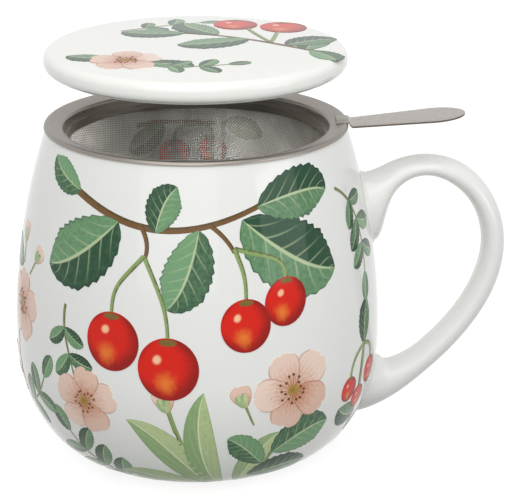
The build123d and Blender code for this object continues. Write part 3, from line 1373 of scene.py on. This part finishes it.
# ---------------------------------------------------------------- the mug
@dataclass
class Mug:
    """The porcelain mug: a round bowl on a foot ring, its ear handle and its print."""

    height: float = 91.4
    belly_radius: float = 49.3
    belly_height: float = 34.0
    rim_radius: float = 39.8
    belly_wall: float = 4.0
    rim_wall: float = 3.7
    floor: float = 6.0
    floor_flat: float = 22.0
    foot_radius: float = 28.0
    foot_width: float = 3.2
    foot_height: float = 0.8
    foot_recess: float = 2.2
    foot_rounding: float = 0.45
    rim_rounding: Point = (1.65, 1.15)  # inside and outside
    step: float = 1.2  # longest stretch of its curves
    turns: int = 240

    def face(self, start: Point, inset: float) -> Outline:
        """Draws one face of the wall from the bottom up to the rim.

        Args:
            start: Where the bowl's curve starts.
            inset: How far inside the outer face it is at the belly.

        Returns:
            Its outline.
        """
        belly = self.belly_radius - inset
        top = self.rim_radius - (self.rim_wall if inset else 0)
        size = (belly - start[0], self.belly_height - start[1])
        outline = Outline(start).arc((start[0], self.belly_height), size, -90, 0, self.step)
        rise = self.height - self.belly_height
        radius = (rise**2 + (belly - top) ** 2) / (2 * (belly - top))
        centre = (belly - radius, self.belly_height)
        return outline.arc(centre, (radius, radius), 0, degrees(asin(rise / radius)), self.step)

    def outer_face(self) -> Outline:
        """Gives the outer face's outline."""
        return self.face((self.foot_radius, self.foot_height), 0.0)

    def inner_face(self) -> Outline:
        """Gives the inner face's outline."""
        return self.face((self.floor_flat, self.floor), self.belly_wall)

    def build(self, porcelain: Material) -> None:
        """Builds the bowl and dresses the handle.

        Args:
            porcelain: What they are dressed in.
        """
        foot_inner = self.foot_radius - self.foot_width
        outline = Outline((0, self.foot_recess)).line(
            (foot_inner, self.foot_recess), (foot_inner, 0), (self.foot_radius, 0)
        )
        outline.line(*self.outer_face().points)
        outline.line(*reversed(self.inner_face().points), (0, self.floor))
        bm = outline.spin(self.turns)
        round_off(bm, self.foot_radius, 0, self.foot_rounding)
        round_off(bm, foot_inner, 0, self.foot_rounding)
        round_off(bm, self.rim_radius, self.height, self.rim_rounding[1])
        round_off(bm, self.rim_radius - self.rim_wall, self.height, self.rim_rounding[0])
        bowl = place_piece(smooth_mesh("mug_bowl", bm), porcelain, "mug")
        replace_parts(bowl, "mug_body")
        mesh = smooth_mesh("mug_ear_handle", welded_copy("mug_handle"))
        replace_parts(place_piece(mesh, porcelain, "mug"), "mug_handle")

    def draw_outside(self, inks: Inks) -> None:
        """Prints sprays all round the outside.

        Args:
            inks: The material of each ink.
        """
        canvas = Canvas("mug", "mug", Wall(self.outer_face().points, Side.OUTSIDE))
        # each spray's angle and way up the wall, and its seed
        draw_bough(Spray(canvas, (-92, 0), 1))
        draw_bough(Spray(canvas, (96, 0), 2, mirrored=True))
        draw_blossom_twig(Spray(canvas, (-165, 42), 3))
        draw_blossom_twig(Spray(canvas, (34, 42), 4, mirrored=True))
        draw_side_sprig(Spray(canvas, (-27, 8), 5))
        draw_side_sprig(Spray(canvas, (160, 8), 6, mirrored=True))
        canvas.finish(inks)

    def draw_inside(self, inks: Inks) -> None:
        """Prints a small spray inside the back.

        Args:
            inks: The material of each ink.
        """
        wall = Wall(self.inner_face().points, Side.INSIDE)
        canvas = Canvas("inner", "mug", wall)
        spray = Spray(canvas, (92, wall.along[-1] - 17), 7)
        spray.ribbon(STEM, [(-16, 6), (-4, 8), (6, 4), (17, 7)], (1.5, 0.9), 0, 0.9)
        spray.fruits((1, 5.5), [(-5, -4, 4.6), (6, -3, 4.2)], 1)
        spray.leaf((-8, 6), 215, 13, 7, 2)
        spray.leaf((9, 6), -20, 12, 6.4, 2)
        canvas.finish(inks)


# ---------------------------------------------------------------- the lid
@dataclass
class Lid:
    """The flat porcelain lid, which is held above the mug, and the print on its top."""

    radius: float = 40.1
    crown: float = 0.7

    def build(self, porcelain: Material) -> None:
        """Dresses the lid."""
        mesh = smooth_mesh("porcelain_lid", welded_copy("lid"))
        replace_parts(place_piece(mesh, porcelain, "lid"), "lid")

    def draw_top(self, inks: Inks) -> None:
        """Prints the lid's top.

        Args:
            inks: The material of each ink.
        """
        top = Dome(self.radius, self.crown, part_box("lid")[1].z / MM - self.crown)
        canvas = Canvas("lid", "lid", top)
        spray = Spray(canvas, (12, 6), 11)
        spray.ribbon(STEM, [(22, -14), (10, -6), (-2, 6), (-16, 8)], (1.8, 1.0), 0, 0.9, 20)
        spray.fruits((8, -3), [(12, 16, 6.4), (-1, 19, 6.0)], 3)
        spray.leaf((12, -6), 30, 16, 9, 2)
        spray.leaf((2, 1), 200, 20, 10, 2)
        spray.leaf((-6, 6), 120, 18, 9.5, 2)
        spray.leaf((-15, 8), 170, 17, 9, 1)
        spray.leaf((18, -12), -60, 12, 7, 2)
        spray.leaf((17, -11), 65, 14, 7.5, 1)
        low = Spray(canvas, (-18, -16), 12)
        low.blossom((0, 0), 9.5, 20, 3)
        low.leaf((-3, 2), 160, 13, 6.5, 1)
        low.leaf((4, -3), -20, 14, 7, 1)
        low.leafy_twig([(5, -4), (13, -8), (20, -8), (27, -5)], 2, 8.5, 1)
        back = Spray(canvas, (-14, 24), 13)
        back.leafy_twig([(-6, -6), (2, -2), (8, 2), (16, 4)], 2, 8.5, 0)
        canvas.finish(inks)


# ---------------------------------------------------------------- the infuser
class Weave(Enum):
    """The two directions of a plain weave."""

    WARP = 1
    WEFT = -1


@dataclass
class WireCloth:
    """The infuser's basket of plain-woven wire: a rolled cone with a lapped seam, and a dish."""

    pitch: float = 0.63  # wire spacing, a little coarser than the real cloth so that it shows
    wire_radius: float = 0.13
    crimp: float = 0.1  # how far a wire swings over and under the others
    taper: float = 8.0  # degrees that the wall leans
    top_radius: float = 35.12
    top_height: float = 87.9
    bend_height: float = 86.1  # above this the cloth stands upright under the clamp ring
    corner_radius: float = 6.8
    bottom_height: float = 35.12
    seam_angle: float = 78.0  # where the rolled sheet starts, in degrees round the axis
    lap: float = 2.4  # overlap of the sheet's ends
    lap_drop: float = 2.6  # how many wire radii the lapped end lies further in
    lap_turn: float = 0.03  # radians over which it gets there
    shortest: int = 3  # crossings of the shortest wire

    def __post_init__(self) -> None:
        """Works out where the cone ends and the dish begins."""
        self.lean = radians(self.taper)
        bottom = self.top_radius - (self.bend_height - self.bottom_height) * tan(self.lean)
        self.flat_radius = bottom - self.corner_radius * tan((pi / 2 - self.lean) / 2)
        self.low_slant = (self.flat_radius + self.corner_radius * cos(self.lean)) / sin(self.lean)
        self.bend_slant = self.top_radius / sin(self.lean)
        self.high_slant = self.bend_slant + self.top_height - self.bend_height

    def on_cone(self, x: float, y: float, swing: float) -> Vector:
        """Rolls a point of the flat sheet onto the cone.

        Args:
            x: Its place across the flat sheet, whose rays meet at the origin.
            y: Its place along the sheet's first ray.
            swing: How far off the cone's surface it is.

        Returns:
            The place in metres.
        """
        slant, around = hypot(x, y), atan2(x, y) / sin(self.lean)
        below = min(slant, self.bend_slant)
        lapped = max(0.0, min(1.0, (around - tau + self.lap_turn) / self.lap_turn))
        radius = below * sin(self.lean) + swing - self.lap_drop * self.wire_radius * lapped
        height = self.bend_height - (self.bend_slant - below) * cos(self.lean) + slant - below
        angle = radians(self.seam_angle) + around
        return Vector((radius * cos(angle), radius * sin(angle), height)) * MM

    def on_dish(self, x: float, y: float, swing: float) -> Vector:
        """Presses a point of a flat sheet into the dish that closes the basket's bottom.

        Args:
            x: Its place across the flat sheet, from the sheet's middle.
            y: Its place along it.
            swing: How far off the dish's surface it is.

        Returns:
            The place in metres.
        """
        reach = hypot(x, y)
        bend = max(0.0, reach - self.flat_radius) / self.corner_radius
        radius = min(reach, self.flat_radius) + (self.corner_radius + swing) * sin(bend)
        height = self.bottom_height + self.corner_radius - (self.corner_radius + swing) * cos(bend)
        share = radius / reach if reach else 0.0
        return Vector((x * share, y * share, height)) * MM

    def sheet(
        self,
        name: str,
        weave: Weave,
        inside: Callable[[float, float], bool],
        place: Callable[[float, float, float], Vector],
        columns: range,
        rows: range,
        wire: Material,
    ) -> Object:
        """Weaves the wires of one direction.

        Args:
            name: The piece's name.
            weave: Whether these wires run along the sheet's first ray or across it.
            inside: Says whether a point of the flat sheet belongs to it.
            place: Maps a flat point and its swing into the basket.
            columns: Numbers of the wires across the sheet.
            rows: Numbers of the wires along it.
            wire: What the wires are dressed in.

        Returns:
            The new piece.
        """
        curve = bpy.data.curves.new(name, "CURVE")
        curve.dimensions = "3D"
        curve.bevel_depth = self.wire_radius * MM
        curve.bevel_resolution = 0
        curve.use_fill_caps = True
        wires, crossings = (columns, rows) if weave is Weave.WARP else (rows, columns)
        for number in wires:
            run: list[Vector] = []
            for crossing in crossings:
                i, j = (number, crossing) if weave is Weave.WARP else (crossing, number)
                if inside(i * self.pitch, j * self.pitch):
                    swing = self.crimp * weave.value * (1 if (i + j) % 2 else -1)
                    run.append(place(i * self.pitch, j * self.pitch, swing))
                else:
                    self.add_wire(curve, run)
                    run = []
            self.add_wire(curve, run)
        maker = bpy.data.objects.new(name, curve)
        mesh = bpy.data.meshes.new_from_object(maker)
        bpy.data.objects.remove(maker)
        bpy.data.curves.remove(curve)
        mesh.name = name
        mesh.shade_smooth()
        return place_piece(mesh, wire, "infuser")

    def add_wire(self, curve: bpy.types.Curve, run: list[Vector]) -> None:
        """Adds one wire to a curve, unless it is only a stub.

        Args:
            curve: The curve.
            run: The wire's places, in metres.
        """
        if len(run) < self.shortest:
            return
        spline = curve.splines.new("POLY")
        spline.points.add(len(run) - 1)
        for point, place in zip(spline.points, run):
            point.co = (*place, 1.0)

    def build(self, wire: Material) -> list[Object]:
        """Weaves the cone and the dish, in both directions each.

        Args:
            wire: What the wires are dressed in.

        Returns:
            The pieces.
        """
        turn = tau * sin(self.lean) + self.lap / self.bend_slant
        dish_reach = self.flat_radius + self.corner_radius * (pi / 2 - self.lean)

        def in_cone(x: float, y: float) -> bool:
            """Says whether a point lies on the sheet that is rolled."""
            return self.low_slant <= hypot(x, y) <= self.high_slant and 0 <= atan2(x, y) <= turn

        def in_dish(x: float, y: float) -> bool:
            """Says whether a point lies on the round sheet that is pressed."""
            return hypot(x, y) <= dish_reach

        low = floor(self.low_slant * cos(turn) / self.pitch)
        rows = range(low, ceil(self.high_slant / self.pitch) + 1)
        columns = range(ceil(self.high_slant * sin(turn) / self.pitch) + 1)
        across = ceil(dish_reach / self.pitch)
        disc = range(-across, across + 1)
        pieces = []
        for weave in Weave:
            wall = f"basket_wall_{weave.name.lower()}"
            pieces.append(self.sheet(wall, weave, in_cone, self.on_cone, columns, rows, wire))
            base = f"basket_floor_{weave.name.lower()}"
            pieces.append(self.sheet(base, weave, in_dish, self.on_dish, disc, disc, wire))
        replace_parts(pieces[0], "infuser_mesh")
        return pieces


@dataclass
class StampedRim:
    """The infuser's rim: a flange with a turned-down lip and a deep skirt.

    A channel is pressed up in it, over the tongue of the strip handle.
    """

    flange_radius: float = 40.52
    flange_top: float = 91.9
    sheet: float = 0.5
    lip_drop: float = 1.0
    skirt_inner: float = 35.3
    skirt_depth: float = 5.6
    bend: float = 0.4
    skirt_start: float = 0.2  # how far below the bend the skirt's long faces start
    tongue_length: float = 2.9
    tongue_width: float = 5.4
    channel_gap: float = 0.1
    channel_rise: float = 0.32  # how far the pressed channel stands up
    channel_edge: float = 0.28
    channel_end: float = 0.05  # how far short of the lip it ends
    overcut: float = 1.0  # how far the slot is cut past the sheet
    dish: float = 0.8  # how far the flange falls towards the mouth
    step: float = 0.16  # longest stretch of its bends
    turns: int = 240

    def build(self, steel: Material) -> None:
        """Builds the rim.

        Args:
            steel: What it is dressed in.
        """
        outer = self.bend + self.sheet
        lip, top, skirt = self.flange_radius, self.flange_top, self.skirt_inner
        lip_at, skirt_at = (lip - outer, top - outer), (skirt + outer, top - self.dish - outer)
        over = 90 + degrees(atan2(self.dish, lip_at[0] - skirt_at[0]))
        outline = Outline((lip, top - self.lip_drop))
        outline.arc(lip_at, (outer, outer), 0, over, self.step)
        outline.arc(skirt_at, (outer, outer), over, 180, self.step)
        outline.line((skirt, skirt_at[1] - self.skirt_start), (skirt, top - self.skirt_depth))
        outline.line((skirt + self.sheet, top - self.skirt_depth))
        outline.arc(skirt_at, (self.bend, self.bend), 180, over, self.step)
        outline.arc(lip_at, (self.bend, self.bend), over, 0, self.step)
        outline.line((lip - self.sheet, top - self.lip_drop))
        bm = outline.spin(self.turns, closed=True)
        plain = add_object("plain_rim", smooth_mesh("plain_rim", bm))
        start, half = lip - self.tongue_length, self.tongue_width / 2 + self.channel_gap
        cover = self.block(
            (start - self.sheet, lip - self.channel_end),
            half + self.sheet,
            (top - self.sheet, top + self.channel_rise),
        )
        cut = (top - self.lip_drop - self.overcut, top)
        slot = self.block((start, lip + 2 * self.overcut), half, cut)
        self.round_top(cover)
        for other, operation in ((cover, "UNION"), (slot, "DIFFERENCE")):
            change = plain.modifiers.new(operation.lower(), "BOOLEAN")
            change.operation = operation
            change.object = other
            change.solver = "EXACT"
        shaped = plain.evaluated_get(bpy.context.evaluated_depsgraph_get())
        mesh = bpy.data.meshes.new_from_object(shaped)
        mesh.name = "stamped_rim"
        for part in (plain, cover, slot):
            bpy.data.objects.remove(part)
        mesh.shade_smooth()
        mesh.set_sharp_from_angle(angle=SMOOTH_ANGLE)
        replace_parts(place_piece(mesh, steel, "infuser"), "infuser_rim")

    @staticmethod
    def block(reach: Point, half: float, heights: Point) -> Object:
        """Makes a block to join to the rim or to cut from it.

        Args:
            reach: Where it starts and ends along X.
            half: Half its width along Y.
            heights: Its lower and upper height.

        Returns:
            The object.
        """
        bm = bmesh.new()
        bmesh.ops.create_cube(bm, size=1.0)
        size = Vector((reach[1] - reach[0], 2 * half, heights[1] - heights[0])) * MM
        bmesh.ops.scale(bm, vec=size, verts=bm.verts)
        middle = Vector((sum(reach) / 2, 0, sum(heights) / 2)) * MM
        bmesh.ops.translate(bm, vec=middle, verts=bm.verts)
        return add_object("block", smooth_mesh("block", bm))

    def round_top(self, block: Object) -> None:
        """Rounds the upper edges of a block, but for the outer one.

        Args:
            block: The block.
        """
        bm = bmesh.new()
        bm.from_mesh(block.data)
        top = max(vert.co.z for vert in bm.verts)
        inner = min(vert.co.x for vert in bm.verts)
        edges = [
            edge
            for edge in bm.edges
            if all(vert.co.z == top for vert in edge.verts)
            and any(vert.co.x == inner for vert in edge.verts)
        ]
        bevel(bm, edges, self.channel_edge, segments=4)
        bm.to_mesh(block.data)
        bm.free()


@dataclass
class StripHandle:
    """The strip handle, blanked from sheet: a round-ended blade on a narrower tongue.

    The blade starts just outside the rim's lip, a little below the flange, and leans up.
    """

    tongue_start: float = 37.72
    tongue_half: float = 2.7
    shoulder: float = 40.64
    root_half: float = 4.65
    widest: float = 63.32
    widest_half: float = 6.9
    end_length: float = 8.4
    tip: float = 0.002  # keeps the round end's tip from closing to a point
    root_rows: tuple[float, ...] = (-0.3, 0.0, 0.04, 0.25, 0.5, 0.8, 1.2, 2.0)  # past the shoulder
    blade_rows: int = 6
    end_rows: int = 14
    end_turn: float = 6.0  # degrees from one row of the round end to the next
    rows_across: int = 6
    top: float = 91.9
    blade_top: float = 91.2
    step_start: float = -0.1  # from the shoulder, where the top steps down past the lip
    step_length: float = 0.9
    lean_start: float = 1.2  # from the shoulder, where the blade starts to lean up
    lean: float = 0.0868  # rise for each millimetre of the blade
    sheet: float = 0.5
    edge: float = 0.16

    def half_width(self, x: float) -> float:
        """Finds half the strip's width.

        Args:
            x: Where along it.

        Returns:
            The half width.
        """
        if x <= self.shoulder:
            return self.tongue_half
        if x <= self.widest:
            part = (x - self.shoulder) / (self.widest - self.shoulder)
            return self.root_half + part * (self.widest_half - self.root_half)
        past = (x - self.widest) / self.end_length
        return self.widest_half * sqrt(max(self.tip, 1 - past**2))

    def height(self, x: float) -> float:
        """Finds the height of the strip's top.

        Args:
            x: Where along it.

        Returns:
            The height.
        """
        step = max(0.0, min(1.0, (x - self.shoulder - self.step_start) / self.step_length))
        step = step * step * (3 - 2 * step)
        leaning = max(0.0, x - self.shoulder - self.lean_start) * self.lean
        return self.top + step * (self.blade_top - self.top) + leaning

    def build(self, steel: Material) -> None:
        """Builds the strip.

        Args:
            steel: What it is dressed in.
        """
        stations = [self.tongue_start, *(self.shoulder + reach for reach in self.root_rows)]
        blade = self.widest - stations[-1]
        rows = range(1 - self.blade_rows, 1)
        stations += [self.widest + blade * i / self.blade_rows for i in rows]
        turns = [radians(self.end_turn * (i + 1)) for i in range(self.end_rows)]
        stations += [self.widest + self.end_length * sin(turn) for turn in turns]
        last = len(stations) - 1
        bm = bmesh.new()
        cells = {"x_segments": last, "y_segments": self.rows_across}
        grid = bmesh.ops.create_grid(bm, **cells, size=0.5)["verts"]
        raised = bmesh.ops.extrude_face_region(bm, geom=list(bm.faces))["geom"]
        top = {part for part in raised if isinstance(part, bmesh.types.BMVert)}
        for vert in [*grid, *top]:
            x = stations[round((vert.co.x + 0.5) * last)]
            y = 2 * vert.co.y * self.half_width(x)
            z = self.height(x) - (0.0 if vert in top else self.sheet)
            vert.co = Vector((x, y, z)) * MM
        bmesh.ops.recalc_face_normals(bm, faces=bm.faces)
        sharp = [edge for edge in bm.edges if edge.calc_face_angle(0.0) > SHARP_ANGLE]
        bevel(bm, sharp, self.edge, segments=3, clamp=True)
        strip = place_piece(smooth_mesh("strip_handle", bm), steel, "infuser")
        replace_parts(strip, "infuser_handle")


@dataclass
class Infuser:
    """The steel infuser: its rim, the clamp ring, the wire basket and the strip handle."""

    rim: StampedRim = field(default_factory=StampedRim)
    strip: StripHandle = field(default_factory=StripHandle)
    cloth: WireCloth = field(default_factory=WireCloth)

    def build(self, turned: Material, drawn: Material, wire: Material) -> list[Object]:
        """Builds the infuser's pieces.

        Args:
            turned: Finish of the rim and the clamp ring.
            drawn: Finish of the strip handle.
            wire: Finish of the wire cloth.

        Returns:
            The pieces of the wire cloth.
        """
        self.strip.build(drawn)
        self.rim.build(turned)
        mesh = smooth_mesh("clamp_ring", welded_copy("infuser_clamp_ring"))
        clamp = place_piece(mesh, turned, "infuser")
        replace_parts(clamp, "infuser_clamp_ring")
        return self.cloth.build(wire)


# ---------------------------------------------------------------- studio
@dataclass(frozen=True)
class SoftLamp:
    """A square soft box: where it hangs and what it shines at in mm, its side and its watts."""

    name: str
    place: Place
    aim: Place
    size: float
    power: float

    def hang(self) -> Object:
        """Hangs the soft box.

        Returns:
            The lamp.
        """
        data = bpy.data.lights.new(self.name, "AREA")
        data.size = self.size * MM
        data.energy = self.power
        box = add_object(self.name, data)
        point_at(box, self.place, self.aim)
        return box


def point_at(thing: Object, place: Place, aim: Place) -> None:
    """Puts a lamp or camera at a place in mm and turns it towards another."""
    thing.location = Vector(place) * MM
    thing.rotation_euler = (Vector(aim) - Vector(place)).to_track_quat("-Z", "Y").to_euler()


@dataclass
class Studio:
    """A white table in a white room with large soft boxes, and the camera."""

    camera_place: Place = (0.0, -589.1, 249.7)
    camera_aim: Place = (16.6, 0.0, 55.4)
    lens: float = 159.2
    sensor: float = 36.0
    clip_start: float = 10.0
    table: str = "#989997"
    table_half: float = 3000.0
    table_glow: float = 0.85  # what the camera sees on top of the table's own light
    room_light: float = 0.6
    lamps: tuple[SoftLamp, ...] = (
        SoftLamp("overhead_box", (-40, -380, 620), (0, 0, 60), 700, 1.6),
        SoftLamp("front_box", (-200, -880, 400), (0, 0, 60), 950, 2.35),
        SoftLamp("right_box", (760, -480, 90), (60, 0, 50), 500, 1.6),
    )
    infuser_lamps: tuple[SoftLamp, ...] = (
        SoftLamp("infuser_front_box", (-40, -880, 445), (0, 20, 80), 170, 10.0),
        SoftLamp("infuser_left_box", (-800, -450, 430), (20, 10, 80), 170, 10.0),
    )

    def build(self) -> None:
        """Builds the table, the room's light, the lamps and the camera."""
        self.make_table()
        self.make_room()
        for lamp in self.lamps:
            lamp.hang()
        self.make_camera()

    def make_table(self) -> None:
        """Builds the white table top, which keeps the mug's soft shadow."""
        bm = bmesh.new()
        bmesh.ops.create_grid(bm, x_segments=1, y_segments=1, size=self.table_half * MM)
        mesh = bpy.data.meshes.new("table_top")
        bm.to_mesh(mesh)
        bm.free()
        table = add_object("table_top", mesh)
        material = new_material("white_table")
        tree = material.node_tree
        matt = add_node(tree, "BsdfDiffuse", {"Color": self.table})[0]
        share = (self.background_rays(tree), self.table_glow)
        glow = add_node(tree, "Math", share, operation="MULTIPLY")[0]
        shine = add_node(tree, "Emission", {"Strength": glow})[0]
        both = add_node(tree, "AddShader", (matt, shine))[0]
        add_node(tree, "OutputMaterial", {"Surface": both})
        mesh.materials.append(material)

    @staticmethod
    def background_rays(tree: Tree) -> Socket:
        """Tells the rays from the camera, also by way of metal or glass, from the rest.

        Args:
            tree: The node tree.

        Returns:
            1 for those rays, and 0 for the others.
        """
        path = add_node(tree, "LightPath")
        seen = path["Is Camera Ray"]
        for rays in ("Is Glossy Ray", "Is Transmission Ray"):
            seen = add_node(tree, "Math", (seen, path[rays]), operation="MAXIMUM")[0]
        return seen

    def make_room(self) -> None:
        """Lights the room evenly, and shows it white to the camera."""
        world = bpy.data.worlds.new("white_room")
        world.use_nodes = True
        tree = world.node_tree
        tree.nodes.clear()
        share = {"Value": self.background_rays(tree), "To Min": self.room_light, "To Max": 1.0}
        strength = add_node(tree, "MapRange", share)[0]
        light = add_node(tree, "Background", {"Color": "#FFFFFF", "Strength": strength})[0]
        add_node(tree, "OutputWorld", {"Surface": light})
        bpy.context.scene.world = world

    def light_infuser(self, pieces: Iterable[Object]) -> None:
        """Adds two small soft boxes that reach in under the lid.

        Args:
            pieces: The wire cloth, which is all that they light.
        """
        lit = bpy.data.collections.new("lit_by_infuser_boxes")
        for piece in pieces:
            lit.objects.link(piece)
        for lamp in self.infuser_lamps:
            lamp.hang().light_linking.receiver_collection = lit

    def make_camera(self) -> None:
        """Adds the camera, a long lens a little above the rim."""
        data = bpy.data.cameras.new("camera")
        data.lens = self.lens
        data.sensor_width = self.sensor
        data.sensor_fit = "HORIZONTAL"
        data.clip_start = self.clip_start * MM
        camera = add_object("camera", data)
        point_at(camera, self.camera_place, self.camera_aim)
        bpy.context.scene.camera = camera


def main() -> None:
    """Builds the sub-assemblies in order."""
    studio = Studio()
    studio.build()
    porcelain = Porcelain().material()
    # painted light: the lid is the mug's porcelain, coloured whiter than the bowl so that it shows
    # brighter
    lid_porcelain = Porcelain("glazed_lid_porcelain", "#F8F9F4").material()
    inks = {ink: ink.material() for ink in (LEAF, PALE_LEAF, STEM, FRUIT, PETAL, DOT)}
    mug = Mug()
    mug.build(porcelain)
    mug.draw_outside(inks)
    mug.draw_inside(inks)
    lid = Lid()
    lid.build(lid_porcelain)
    lid.draw_top(inks)
    # painted shade: the rim and the clamp ring are the strip's stainless, coloured darker for the
    # shaded lid that they mirror
    turned = BrushedSteel("turned_steel", Brushing.AROUND, "#9C9690", roughness=0.32)
    drawn = BrushedSteel("drawn_steel", Brushing.ALONG, "#C0BAB3", roughness=0.3, shades_cut_edges=True)
    cloth = Infuser().build(turned.material(), drawn.material(), DrawnWire().material())
    studio.light_infuser(cloth)
    bpy.context.scene.view_settings.view_transform = "Standard"


if __name__ == "__main__":
    main()
